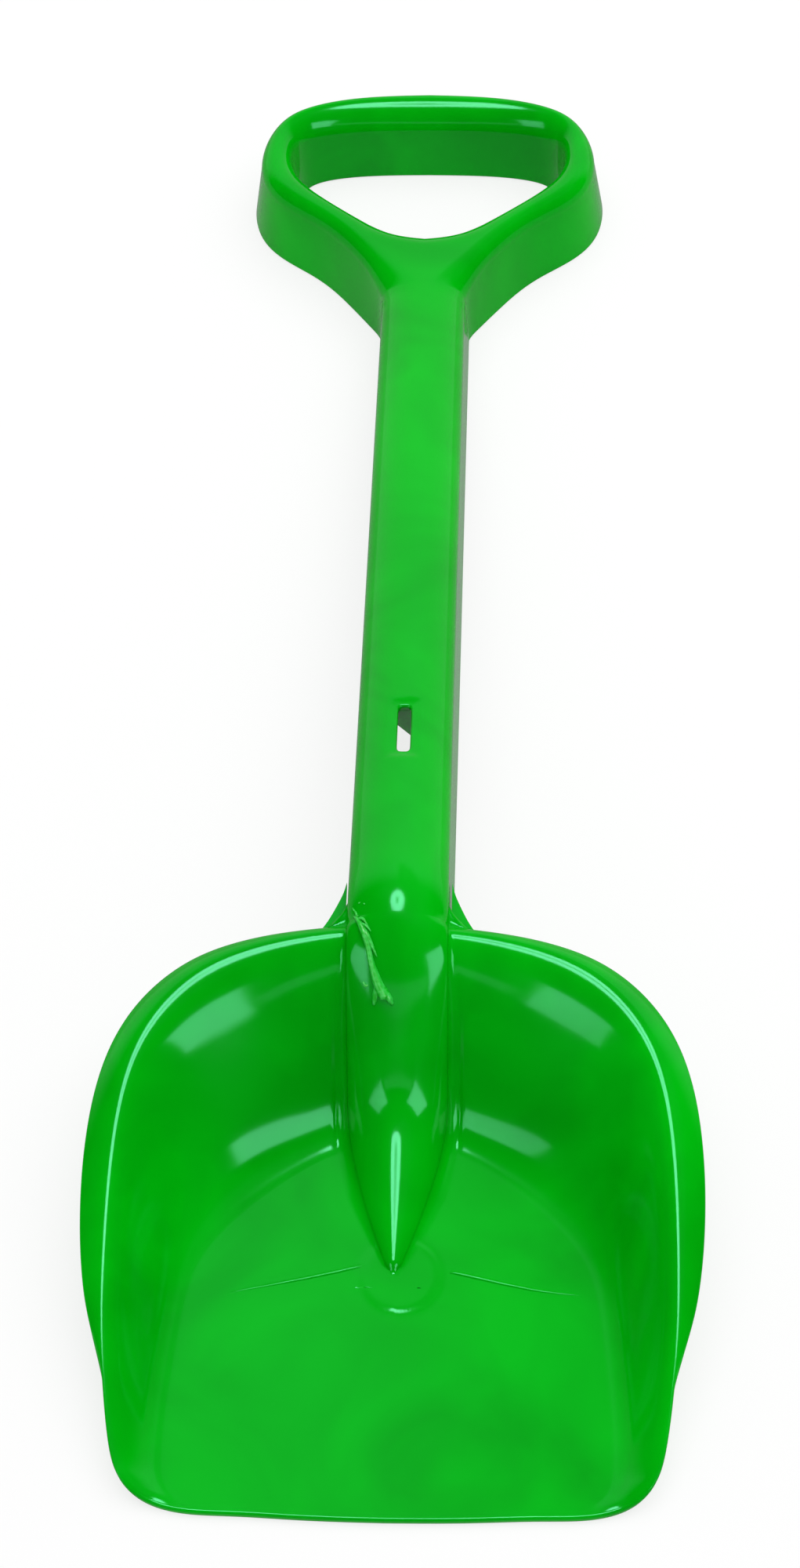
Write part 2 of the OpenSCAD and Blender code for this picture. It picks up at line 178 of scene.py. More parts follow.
def wallPoints(crest, foot, outward, rise, lip, roll):
    # foot to crest: straight in plan, up the wall's climb; then out over the rim, which falls with a power
    # of the way out
    inPart = mix(crest[:, None], foot[:, None], wallDown[:, None])
    outPart = crest[:, None] + outward[:, None] * (lip[:, None] * rimOut)[..., None]
    drop = scoop["rimDrop"] * roll * ease(rise / scoop["rimFullRise"])
    zIn = wall + rise[:, None] * wallClimb(1 - wallDown)
    zOut = wall + rise[:, None] - drop[:, None] * rimOut ** scoop["rimPower"]
    xy = np.hstack([inPart, outPart])
    return grid(xy[..., 0], xy[..., 1], np.hstack([zIn, zOut]))


wallPatch = wallPoints(crestLine[rowsOf], footAll[rowsOf], outAll[rowsOf], riseAll[rowsOf], lipAll[rowsOf],
                       rollAll[rowsOf])
crestCol = scoop["wallSteps"]
for part, name in ((wallPatch[:, :crestCol + 1], "wall"), (wallPatch[:, crestCol:], "rim")):
    patches += [(part, "right_" + name), (mirrored(part), "left_" + name)]

# Straight line of the shaft, and the cross section of its crown

shaft = {
    "neckY": 415.0, "neckZ": 28.0, "neckHalf": 13.5, "shoulderZ": 62.0, "depth": 28.0,
    "rows": (25, 14, 43),  # before, beside and after the slot
    "lipBlend": 20.0,      # length over which the spine's last section turns into the shaft's
    "bendFade": 45.0,      # length over which the bend's rounder crown fades out
    "cornerRows": 3,       # size of the hollow corner between rim and shaft, in rows of the shaft
    "neckReach": 20.0,     # length on each side of the neck over which the shaft's slope runs out
    "tailY": 142.0, "tailSteps": 9,
    "tailGap": 1.0,        # how far the tails' upper edge lies under the back wall's skin
    "leastTail": 0.5,
}


def alongShaft(y):
    # 0 at the shoulder, 1 at the neck
    return (y - scoopLength) / (shaft["neckY"] - scoopLength)


def shaftLine(y):
    # straight crown of the shaft, carried on over the shoulder
    return mix(shaft["shoulderZ"], shaft["neckZ"], alongShaft(y))


def crownHalf(y):
    # half width of the shaft, which narrows evenly to the neck
    return mix(moulding["crownHalf"], shaft["neckHalf"], alongShaft(y))


def crownShape(power, cut=0.0):
    # superellipse from the crown's edge to its middle: how far in and how high, as shares of width and rise
    # its first degrees may be cut off, so that the edge isn't upright
    angle = np.radians(cut + (90 - cut) * np.linspace(0, 1, moulding["crownSteps"] + 1))
    first = np.radians(cut)
    return (1 - (np.cos(angle) / np.cos(first)) ** power,
            (np.sin(angle) ** power - np.sin(first) ** power) / (1 - np.sin(first) ** power))


def crownSection(half, rise, top, power, flat, cut=0.0):
    # edge to middle: x falls from half to 0, z rises by rise to top; each is one row per station
    inward, upward = crownShape(power, cut)
    steps = moulding["plateauSteps"]
    x = half - half * (1 - flat) * inward
    z = top - rise + rise * upward
    middle = np.linspace(1, 0, steps + 1)[1:] * half * flat
    return (np.hstack([x, np.broadcast_to(middle, (len(x), steps))]),
            np.hstack([z, np.repeat(top, steps, axis=1)]))


# Spine: crown line, base line, fillet, side and crown

spine = {
    "noseY": 73.5, "noseHalf": 1.5, "taper": 0.58, "straightShare": 0.3,
    "noseLead": 0.2, "noseRound": 2.6,     # the nose rounds off over this length
    "noseStart": 0.35,                     # its width at the tip, as a share
    "ahead": 5.0, "noseMargin": 6.0,       # how far the spine's patch reaches out round the nose
    "edgeBlend": 12.0, "floorRows": 57, "rowPower": 1.15, "baseSteps": 5, "filletSteps": 6,
    "ridgeStart": 16.0, "ridgeBlend": 34.0,  # the bend's section turns into the ridge's round the wall's foot
    # pairs: on the bend over the back wall, and on the ridge, which is rounder and has a flared foot
    "fillet": (3.4, 2.4), "filletShare": (0.36, 0.3), "crownRise": (12.0, 60.0), "power": (1.15, 1.06),
    "flat": (0.03, 0.04), "cut": (0.0, 35.0), "footSlope": (90.0, 55.0),
    "crownShare": 0.97,                    # most of what is over the fillet that the crown takes
    "lipFillet": 0.25, "lipPast": 2.0, "lipBlend": 9.0,    # the fillet shrinks to a share at the shoulder
    # thinner wall over the nose's narrow hollow: where, and how thin for the half width there
    "thinReach": 14.0, "thinAside": 0.3, "thinAbove": 0.05, "thinShare": 0.45, "thinLeast": 0.2,
    "lineStep": 0.25, "lineSmoothing": 120,
    # slope of the crown in degrees at distances from the digging edge
    "slopes": [[60, 15.3], [106, 15.3], [110.5, 17.3], [115, 28], [119, 40], [122.5, 50], [138, 50],
               [144.5, 45], [150.5, 37], [156, 27], [162, 15], [174, -7.46], [182, -7.46]],
}
slopeTable = np.array(spine["slopes"])
fineY = np.arange(slopeTable[0, 0], slopeTable[-1, 0], spine["lineStep"])
fineSlope = relaxed(np.interp(fineY, slopeTable[:, 0], slopeTable[:, 1]), spine["lineSmoothing"])
fineZ = np.cumsum(np.tan(np.radians(fineSlope))) * spine["lineStep"]
fineZ += shaftLine(fineY[-1]) - fineZ[-1]
print("crown line: nose height", round(float(np.interp(spine["noseY"], fineY, fineZ)), 2))


def crownLine(y):
    # height of the crown: its slopes added up over the scoop, then the shaft's straight line
    return np.where(y > fineY[-1], shaftLine(y), np.interp(y, fineY, fineZ))


def spineHalf(y):
    # half width of the spine: from the nose it grows by a quarter sine wave mixed with a straight line
    grown = np.clip((y - spine["noseY"]) / ((scoopLength - spine["noseY"]) * spine["taper"]), 0, 1)
    grown = mix(np.sin(grown * math.pi / 2), grown, spine["straightShare"])
    return mix(spine["noseHalf"], moulding["crownHalf"], grown)


middleRow = wallPoints(np.array([[0, scoopLength]]), np.array([[0, scoop["footBack"] * scoopLength]]),
                       np.array([[0.0, 1.0]]), riseAll[:1], lipAll[:1], rollAll[:1])[0]
footY = middleRow[0, 1]
footX, wallFootY = wallPatch[0, 0, :2]
noseFront = spine["noseY"] - spine["ahead"]
floorY = mix(noseFront, footY, np.linspace(0, 1, spine["floorRows"] + 1) ** spine["rowPower"])[:-1]
stationY = np.concatenate([floorY, middleRow[:, 1]])[:, None]
stationZ = np.concatenate([np.full(len(floorY), wall), middleRow[:, 2]])[:, None]
margin = mix(spine["noseMargin"], footX - spineHalf(footY), ease((floorY - noseFront) / (footY - noseFront)))
sweep = (wallFootY - footY) * ease((floorY - footY + spine["edgeBlend"]) / spine["edgeBlend"])
baseEdge = np.vstack([grid(spineHalf(floorY) + margin, floorY + sweep, wall), wallPatch[0]])

ridge = ease((footY + spine["ridgeStart"] - stationY) / spine["ridgeBlend"])


def bendToRidge(key):
    # the value on the bend where ridge is 0, the one on the ridge where it is 1
    return mix(*spine[key], ridge)


noseIn = np.sqrt(ease((stationY - spine["noseY"] + spine["noseLead"]) / spine["noseRound"]))
half = spineHalf(stationY) * mix(spine["noseStart"], 1, noseIn)
top = mix(stationZ, np.maximum(crownLine(stationY), stationZ), noseIn)
height = np.maximum(top - stationZ, 1e-4)
atLip = ease((scoopLength + spine["lipPast"] - stationY) / spine["lipBlend"])
fillet = np.minimum(bendToRidge("fillet"), height * bendToRidge("filletShare"))
fillet = fillet * mix(spine["lipFillet"], 1, atLip)
crownRise = np.minimum(bendToRidge("crownRise"), height - fillet) * spine["crownShare"]
crownX, crownZ = crownSection(half, crownRise, top, bendToRidge("power"), bendToRidge("flat"),
                              bendToRidge("cut"))
sideTop = top - crownRise
share = np.linspace(1, 0, moulding["sideSteps"] + 1)[:-1]
sideZ = mix(sideTop, stationZ + fillet, share)
sideX = half + (sideTop - sideZ) * draft
# the fillet's arc starts level and ends at the flank's own slope
steepest = np.radians(bendToRidge("footSlope"))
turn = steepest * np.linspace(0, 1, spine["filletSteps"] + 1)[:-1]
filletX = sideX[:, :1] + fillet * (np.sin(steepest) - np.sin(turn)) / (1 - np.cos(steepest))
filletZ = stationZ + fillet * (1 - np.cos(turn)) / (1 - np.cos(steepest))
share = np.linspace(0, 1, spine["baseSteps"] + 1)[:-1]
baseX = mix(baseEdge[:, :1], filletX[:, :1], share)
baseY = mix(baseEdge[:, 1:2], stationY, share)
baseZ = mix(baseEdge[:, 2:3], stationZ, share)
halfX = np.hstack([baseX, filletX, sideX, crownX])
halfZ = np.hstack([baseZ, filletZ, sideZ, crownZ])
halfY = np.hstack([baseY, np.repeat(stationY, halfX.shape[1] - baseY.shape[1], axis=1)])
spineHalfGrid = grid(halfX, halfY, halfZ)
flankCol = baseX.shape[1] + filletX.shape[1]   # first column of the spine's flank
crownCol = flankCol + moulding["sideSteps"]    # and of its crown
patches.append((np.concatenate([spineHalfGrid, mirrored(spineHalfGrid)[:, 1:]], axis=1), "spine"))

# Floor of the scoop: straight rows from the spine's base line out to the wall's foot and the digging edge

floorPan = {"steps": 60, "middleEnd": 16.0}    # where the rows that start on the middle line end
tipLine = crestLine[wallEnd:] + outAll[wallEnd:] * lipAll[wallEnd:, None]
tipLine[-1, 0] = 0
tipPoints = grid(tipLine[:, 0], tipLine[:, 1], wall)
outerLine = np.vstack([wallPatch[:, 0], wallPatch[-1, 1:], tipPoints[1:]])
frontHalf = spineHalfGrid[0]
innerLine = np.vstack([baseEdge[:len(floorY) + 1][::-1], frontHalf[1:]])
spare = len(outerLine) - len(innerLine)
middleY = np.linspace(frontHalf[-1, 1], floorPan["middleEnd"], spare + 1)[1:]
innerLine = np.vstack([innerLine, grid(0.0, middleY, wall)])
share = np.linspace(0, 1, floorPan["steps"] + 1)[None, :, None]
floorPatch = mix(innerLine[:, None], outerLine[:, None], share)
patches += [(floorPatch, "floor_pan"), (mirrored(floorPatch), "floor_pan")]

# Shaft with its hanging slot

slot = {
    "y": 223.0, "half": 2.75, "reach": 9.4, "round": 2.1,
    "dish": 0.7, "dishFrom": 0.25,     # depth of the sunk edge, and the share of the rings where it begins
    "window": 14.0, "cols": 8,         # how much of the grid, on each side, the slot's rings take
    "rings": 7,
}
lipY = stationY[-1, 0]
slotLow, slotHigh = slot["y"] - slot["window"], slot["y"] + slot["window"]
stops = (lipY, slotLow, slotHigh, shaft["neckY"])
shaftY = np.concatenate([[lipY]] + [np.linspace(a, b, rows + 1)[1:]
                                    for a, b, rows in zip(stops, stops[1:], shaft["rows"])])[:, None]
shaftHalf, shaftTop = crownHalf(shaftY), crownLine(shaftY)
atLip = ease(1 - (shaftY - lipY) / shaft["lipBlend"])
shaftHalf = mix(shaftHalf, half[-1], atLip)
shaftRise = mix(moulding["crownRise"], crownRise[-1, 0], atLip)
pastBend = ease(1 - (shaftY - lipY) / shaft["bendFade"])
crownX, crownZ = crownSection(shaftHalf, shaftRise, shaftTop,
                              mix(moulding["roundPower"], spine["power"][0], pastBend),
                              mix(moulding["plateau"], spine["flat"][0], pastBend))
crownX[0], crownZ[0] = spineHalfGrid[-1, crownCol:, [0, 2]]
sideTop = crownZ[:, :1]
sideDepth = sideTop[0, 0] - spineHalfGrid[-1, flankCol, 2]
sideZ = sideTop - sideDepth * np.linspace(1, 0, moulding["sideSteps"] + 1)[:-1]
sideX = shaftHalf + (sideTop - sideZ) * draft
sideX[0], sideZ[0] = spineHalfGrid[-1, flankCol:crownCol, [0, 2]]
skirtFoot = shaftLine(shaftY) - shaft["depth"] + edge
skirtZ = mix(sideZ[:, :1], skirtFoot, np.linspace(1, 0, moulding["skirtSteps"] + 1)[:-1])
skirtX = shaftHalf + (sideTop - skirtZ) * draft
shaftHalfGrid = grid(np.hstack([skirtX, sideX, crownX]), shaftY, np.hstack([skirtZ, sideZ, crownZ]))
shaftGrid = np.concatenate([shaftHalfGrid, mirrored(shaftHalfGrid)[:, 1:]], axis=1)

# a small hollow corner joins the rim's lip to the shaft's side: quarter ellipse in plan, one point at its tip
cornerRows = shaft["cornerRows"]
sideLine = shaftHalfGrid[:cornerRows + 1, moulding["skirtSteps"]]
lipLine = spineHalfGrid[-1, :flankCol + 1]
turn = np.radians(np.linspace(0, 90, cornerRows + 1))[:, None]
hollow = np.array([lipLine[0, 0], sideLine[-1, 1]]) - np.hstack([
    (lipLine[0, 0] - sideLine[-1, 0]) * np.sin(turn), (sideLine[-1, 1] - lipLine[0, 1]) * np.cos(turn)])
hollow = np.hstack([hollow, mix(lipLine[0, 2], sideLine[-1, 2], ease(turn / turn[-1]))])
share = (lipLine[:, :1] - lipLine[0, 0]) / (lipLine[-1, 0] - lipLine[0, 0])
cornerPatch = mix(hollow[:, None], sideLine[:, None], share[None])
cornerPatch[0] = lipLine
patches += [(cornerPatch, "shaft"), (mirrored(cornerPatch), "shaft")]

# the slot: a window of the grid is replaced by rings that run from its edge to the slot's outline
middleCol = shaftHalfGrid.shape[1] - 1
rowLow, rowHigh = shaft["rows"][0], sum(shaft["rows"][:2])
colLow, colHigh = middleCol - slot["cols"], middleCol + slot["cols"]
ring = np.concatenate([shaftGrid[rowLow:rowHigh, colLow], shaftGrid[rowHigh, colLow:colHigh],
                       shaftGrid[rowHigh:rowLow:-1, colHigh], shaftGrid[rowLow, colHigh:colLow:-1]])
reach = np.array([slot["half"], slot["reach"]])
boxed = np.stack([ring[:, 0] / abs(ring[:, 0]).max(), (ring[:, 1] - slot["y"]) / slot["window"]], 1)
boxed = np.clip(boxed / np.abs(boxed).max(axis=1)[:, None], -1, 1) * reach
inner = np.clip(boxed, slot["round"] - reach, reach - slot["round"])
slotEdge = inner + (boxed - inner) / np.linalg.norm(boxed - inner, axis=1)[:, None] * slot["round"]
slotEdge += [0, slot["y"]]


def crownHeight(x, y):
    # height of the shaft's crown over a point of its plan: the superellipse solved for its height
    halfThere = crownHalf(y)
    flat = halfThere * moulding["plateau"]
    inward = np.clip(1 - (np.abs(x) - flat) / (halfThere - flat), 0, 1)
    exponent = 2 / moulding["roundPower"]
    return crownLine(y) - moulding["crownRise"] * (1 - (1 - (1 - inward) ** exponent) ** (1 / exponent))


share = np.linspace(0, 1, slot["rings"] + 1)[:, None]
rings = mix(ring[None, :, :2], slotEdge[None], share[..., None])
dish = slot["dish"] * ease((share - slot["dishFrom"]) / (1 - slot["dishFrom"])) ** 2
rings = grid(rings[..., 0], rings[..., 1], crownHeight(rings[..., 0], rings[..., 1]) - dish)
rings[0] = ring
rings = np.concatenate([rings, rings[:, :1]], axis=1).transpose(1, 0, 2)
slotRows = shaftGrid[rowLow:rowHigh + 1]
patches += [(part, "shaft") for part in (shaftGrid[:rowLow + 1], shaftGrid[rowHigh:],
                                         slotRows[:, :colLow + 1], slotRows[:, colHigh:], rings)]

# skirts carry on behind the back wall, down to where they run out against it
tailY = np.linspace(shaft["tailY"], lipY, shaft["tailSteps"] + 1)[:, None]
tailTop = np.interp(tailY, middleRow[:, 1], middleRow[:, 2]) - shaft["tailGap"]
tailFoot = np.minimum(shaftLine(tailY) - shaft["depth"] + edge, tailTop - shaft["leastTail"])
tailZ = mix(tailTop, tailFoot, np.linspace(1, 0, moulding["skirtSteps"] + 1))
tailX = crownHalf(tailY) + (shaftLine(tailY) - moulding["crownRise"] - tailZ) * draft
tail = grid(tailX, tailY, tailZ)
tail[-1] = shaftHalfGrid[0, :moulding["skirtSteps"] + 1]
patches += [(tail, "shaft"), (mirrored(tail), "shaft")]

# Grip: a band between the outer loop and the hole, with its round top along the line between them

grip = {
    "length": 90.0, "halfWidth": 59.0, "bar": 11.0, "leg": 10.0, "flare": 3.2, "holeFlare": 1.8,
    "bandRise": 6.0, "innerRise": 8.0, "innerPower": 1.35, "crotch": 0.259,
    "barLean": 0.26,       # share of the way in at which the bar's highest line runs
    "outReach": 6.5, "inReach": (6.5, 9.0),    # width of the round parts; the pair is for legs and bar
    "spanSteps": 8, "blendSpans": 2.2, "yokeSpans": 7, "smoothing": 14, "sight": 3,
    "before": (0.3, -8.0),     # way back from the loop's first point, which gives it its direction
    # shares: outline of the front from the neck's side to the bar's middle, and of the hole from its crotch
    "loop": [[0.287, 0.068], [0.385, 0.175], [0.59, 0.325], [0.833, 0.434], [0.96, 0.535],
             [1, 0.664], [0.953, 0.8], [0.797, 0.914], [0.466, 0.982], [0, 1]],
    "hole": [[0, 0], [0.23, 0.033], [0.372, 0.1], [0.59, 0.229], [0.842, 0.413], [0.963, 0.56],
             [1, 0.708], [0.954, 0.847], [0.81, 0.94], [0.48, 0.99], [0, 1]],
}
gripSteps = grip["spanSteps"]
front = np.array([grip["halfWidth"] - grip["flare"], grip["length"] - grip["flare"]])
loopPoints = np.vstack([[shaft["neckHalf"], 0], np.array(grip["loop"]) * front])
loop = smoothLine(loopPoints, gripSteps, ghostStart=loopPoints[0] + grip["before"],
                  ghostEnd=loopPoints[-2] * [-1, 1])
loop = relaxed(loop, grip["smoothing"])
holeY = grip["crotch"] * grip["length"]
holePoints = np.array(grip["hole"]) * [front[0] - grip["leg"], front[1] - grip["bar"] - holeY]
hole = smoothLine(holePoints, gripSteps, ghostStart=holePoints[1] * [-1, 1],
                  ghostEnd=holePoints[-2] * [-1, 1])
hole = relaxed(hole, grip["smoothing"]) + [0, holeY]
loopOut = headings(loop, grip["sight"])
loopOut = np.stack([loopOut[:, 1], -loopOut[:, 0]], 1)
loopOut[0], loopOut[-1] = [1, 0], [0, 1]
holeIn = headings(hole, grip["sight"])
holeIn = np.stack([-holeIn[:, 1], holeIn[:, 0]], 1)
holeIn[0], holeIn[-1] = [0, 1], [0, -1]
spansOut = np.arange(len(loop))[:, None] / gripSteps
blend = spansOut / grip["blendSpans"]
turnIn, midIn = ease(blend), 1 - (1 - np.clip(blend, 0, 1)) ** 2
# the bar's round top leans: its highest line runs nearer to the outer edge than in the legs
lean = ease((spansOut - grip["yokeSpans"] + 1) / 2)
mid = mix(loop, hole, mix(0.5, grip["barLean"], lean)) * midIn
outRise = mix(moulding["crownRise"], grip["bandRise"], turnIn)
outSkirt = mix((shaft["depth"] - moulding["crownRise"]) * draft, grip["flare"], turnIn)
outLength = np.linalg.norm(mid - loop, axis=1)[:, None]
inLength = np.linalg.norm(mid - hole, axis=1)[:, None]
keep = 1 - moulding["plateau"]
outReach = np.minimum(outLength * keep, mix(shaft["neckHalf"] * keep, grip["outReach"], turnIn))
inReach = np.minimum(inLength * keep, mix(*grip["inReach"], lean))


def bandHalf(side, length, reach, rise, flareDir, skirt, power):
    # from the skirt's foot, flared out in proportion to the depth, up to the edge, over the rounded edge by
    # the crown's shape and level to the middle line
    depth, steps = shaft["neckZ"], moulding["plateauSteps"]
    inward, upward = crownShape(power)
    zSkirt = mix(edge, depth - rise, skirtShares)
    fall = (depth - rise - zSkirt) / (depth - rise) * skirt
    xySkirt = side[:, None] + flareDir[:, None] * fall[..., None]
    way = np.hstack([reach * inward, mix(reach, length, np.linspace(0, 1, steps + 1)[1:])]) / length
    xyTop = mix(side[:, None], mid[:, None], way[..., None])
    zTop = depth - rise + rise * np.hstack([upward, np.ones((len(upward), steps))])
    xy = np.concatenate([xySkirt, xyTop], axis=1)
    return grid(xy[..., 0], xy[..., 1], np.hstack([zSkirt, zTop]))


neck = shaftHalfGrid[-1]
crownFrom = moulding["skirtSteps"] + moulding["sideSteps"]
skirtShares = (neck[:crownFrom, 2] - neck[0, 2]) / (neck[crownFrom, 2] - neck[0, 2])
plain = np.ones_like(outRise)
outHalf = bandHalf(loop, outLength, outReach, outRise, loopOut, outSkirt, plain * moulding["roundPower"])
inHalf = bandHalf(hole, inLength, inReach, mix(grip["bandRise"], grip["innerRise"], lean), holeIn,
                  plain * grip["holeFlare"], mix(moulding["roundPower"], grip["innerPower"], lean))
gripGrid = np.concatenate([outHalf, inHalf[:, ::-1][:, 1:]], axis=1) + [0, shaft["neckY"], 0]
gripGrid[0, :len(neck)] = neck
gripGrid[0, len(neck):, 0] = 0
gripGrid[-1, :, 0] = 0
barRow = grip["yokeSpans"] * gripSteps
for part, node in ((gripGrid[:barRow + 1], "grip_yoke"), (gripGrid[barRow:], "grip_bar")):
    patches += [(part, node), (mirrored(part), node)]
print("patches:", len(patches))

# One closed shell from all the patches

shell = {
    "weld": 0.004,             # points nearer than this become one
    "turns": (30, 60, 90),     # degrees of the rows that round an open edge, up to its middle
}


def joined(patches):
    # points that two patches share become one point; a quad with two equal corners becomes a triangle
    points, quads, owner, first = [], [], [], 0
    for number, (patch, _) in enumerate(patches):
        rows, cols = patch.shape[:2]
        at = first + np.arange(rows * cols).reshape(rows, cols)
        quads.append(np.stack([at[:-1, :-1], at[1:, :-1], at[1:, 1:], at[:-1, 1:]], -1).reshape(-1, 4))
        owner.append(np.full(len(quads[-1]), number))
        points.append(patch.reshape(-1, 3))
        first += rows * cols
    points, quads, owner = np.vstack(points), np.vstack(quads), np.concatenate(owner)
    _, kept, index = np.unique(np.round(points / shell["weld"]).astype(np.int64), axis=0, return_index=True,
                               return_inverse=True)
    points, quads = points[kept], index.reshape(-1)[quads]
    same = quads == np.roll(quads, -1, axis=1)
    good = same.sum(axis=1) < 2
    quads, owner, same = quads[good], owner[good], same[good]
    # a repeated corner is turned to the end, so that a triangle reads a, b, c, c
    shift = np.where(same.any(axis=1), (same.argmax(axis=1) + 2) % 4, 0)
    quads = quads[np.arange(len(quads))[:, None], (np.arange(4) + shift[:, None]) % 4]
    return points, quads, owner


def unit(vectors):
    # each row at length one; a row of nothing stays as it is
    return vectors / np.maximum(np.linalg.norm(vectors, axis=1), 1e-12)[:, None]


def pointNormals(points, quads):
    # mean of the normals of the faces round a point, weighted by their corner angles
    corners = points[quads]
    before, after = np.roll(corners, 1, axis=1) - corners, np.roll(corners, -1, axis=1) - corners
    before[:, 0] = corners[:, 3] - corners[:, 0]
    triangle = quads[:, 2] == quads[:, 3]
    after[triangle, 2] = corners[triangle, 0] - corners[triangle, 2]
    faceNormal = np.cross(corners[:, 2] - corners[:, 0], corners[:, 3] - corners[:, 1])
    faceNormal[triangle] = np.cross(corners[triangle, 1] - corners[triangle, 0],
                                    corners[triangle, 2] - corners[triangle, 0])
    faceNormal = unit(faceNormal)
    lengths = np.linalg.norm(before, axis=2) * np.linalg.norm(after, axis=2)
    angle = np.arccos(np.clip((before * after).sum(axis=2) / np.maximum(lengths, 1e-12), -1, 1))
    angle[triangle, 3] = 0
    normals = np.zeros_like(points)
    for corner in range(4):
        np.add.at(normals, quads[:, corner], faceNormal * angle[:, corner:corner + 1])
    return unit(normals), faceNormal


def closedShell(points, quads, owner, thickness, radius):
    # outer skin, inner skin moved in along the normals by the thickness, and on open edges a strip of faces
    # that turns both corners on quarter circles
    normals, faceNormal = pointNormals(points, quads)
    n = len(points)
    a = quads.reshape(-1)
    b = np.roll(quads, -1, axis=1).reshape(-1)
    face = np.repeat(np.arange(len(quads)), 4)
    real = a != b
    a, b, face = a[real], b[real], face[real]
    key = np.minimum(a, b) * np.int64(n) + np.maximum(a, b)
    order = np.argsort(key, kind="stable")
    sortedKey = key[order]
    starts = np.flatnonzero(np.r_[True, sortedKey[1:] != sortedKey[:-1]])
    count = np.diff(np.r_[starts, len(sortedKey)])
    openEdges = order[starts[count == 1]]
    fromPoint, toPoint, edgeFace = a[openEdges], b[openEdges], face[openEdges]
    out = unit(np.cross(points[toPoint] - points[fromPoint], faceNormal[edgeFace]))
    outSum = np.zeros_like(points)
    np.add.at(outSum, fromPoint, out)
    np.add.at(outSum, toPoint, out)
    rim = np.unique(np.r_[fromPoint, toPoint])
    place = np.full(n, -1)
    place[rim] = np.arange(len(rim))
    # on the edge: its points, the normals there and the way out across the edge, at right angles to them
    at, up, outward = points[rim], normals[rim], outSum[rim]
    outward = unit(outward - (outward * up).sum(axis=1)[:, None] * up)
    deep = thickness[rim][:, None]
    rounding = np.minimum(radius, deep / 2)
    levels, levelNormals = [], []
    for degrees, upper in [(d, True) for d in shell["turns"]] + [(d, False) for d in shell["turns"][::-1]]:
        sine, cosine = math.sin(math.radians(degrees)), math.cos(math.radians(degrees))
        down = rounding * (1 - cosine) if upper else deep - rounding * (1 - cosine)
        levels.append(at + rounding * sine * outward - down * up)
        levelNormals.append(sine * outward + (cosine if upper else -cosine) * up)
    inner = points - normals * thickness[:, None]
    allPoints = np.vstack([points, inner] + levels)
    allNormals = np.vstack([normals, -normals] + levelNormals)
    # where a point's copy is on each level: the outer skin, the rows that turn, the inner skin
    turning = [2 * n + row * len(rim) + place for row in range(len(levels))]
    copies = [np.arange(n)] + turning + [np.arange(n) + n]
    strips = [np.stack([high[fromPoint], low[fromPoint], low[toPoint], high[toPoint]], 1)
              for high, low in zip(copies, copies[1:])]
    faces = np.vstack([quads, (quads + n)[:, ::-1]] + strips)
    # reversing a, b, c, c puts the repeat first: turn it to the end again
    flipped = faces[:, 0] == faces[:, 1]
    faces[flipped] = faces[flipped][:, [2, 3, 0, 0]]
    owners = np.concatenate([owner, owner] + [owner[edgeFace]] * len(strips))
    # where two pieces meet, a flat quad closes the wall between the skins
    pair = np.flatnonzero(count == 2)
    first, second = order[starts[pair]], order[starts[pair] + 1]
    differ = owner[face[first]] != owner[face[second]]
    capEdges = np.r_[first[differ], second[differ]]
    capFrom, capTo = a[capEdges], b[capEdges]
    caps = np.stack([capFrom, capFrom + n, capTo + n, capTo], 1)
    return allPoints, allNormals, faces, owners, caps, owner[face[capEdges]]


points, quads, patchOf = joined(patches)
# a low round pad stands under the nose: it fades out over its soft edge and where the surface climbs
pad = {"x": 2.0, "y": 72.5, "radius": 11.0, "soft": 2.4, "height": 0.3, "climb": 3.0}
away = np.hypot(points[:, 0] - pad["x"], points[:, 1] - pad["y"])
points[:, 2] += (pad["height"] * ease((pad["radius"] + pad["soft"] / 2 - away) / pad["soft"])
                 * (1 - ease((points[:, 2] - wall) / pad["climb"])))
# the shaft's slope runs out evenly over the neck: both sides rise with the square of what the reach has left
neckSlope = (shaft["shoulderZ"] - shaft["neckZ"]) / (shaft["neckY"] - scoopLength)
nearNeck = np.clip(shaft["neckReach"] - np.abs(points[:, 1] - shaft["neckY"]), 0, None)
points[:, 2] += (neckSlope / (4 * shaft["neckReach"]) * nearNeck ** 2
                 * np.clip(points[:, 2] / shaft["neckZ"], 0, 1))
names = sorted({name for _, name in patches})
nodeOf = np.array([names.index(name) for _, name in patches])[patchOf]
# near the nose the hollow under the spine thins out
pointHalf = spineHalf(points[:, 1])
noseZone = ((np.abs(points[:, 0]) < pointHalf + spine["thinAside"])
            & (points[:, 1] < spine["noseY"] + spine["thinReach"])
            & (points[:, 2] > wall + spine["thinAbove"]))
thickness = np.where(noseZone, np.minimum(wall, spine["thinShare"] * pointHalf + spine["thinLeast"]), wall)
shellPoints, shellNormals, shellFaces, shellNode, capFaces, capNode = closedShell(points, quads, nodeOf,
                                                                              thickness, edge)
shellPoints[:, 2] = np.maximum(shellPoints[:, 2], 0)
print("shell:", len(shellPoints), "points", len(shellFaces), "faces")


def toFrame(p):
    # millimetres from the digging edge to metres in the part's frame
    return (p - [0, moulding["length"] / 2, 0]) * 0.001


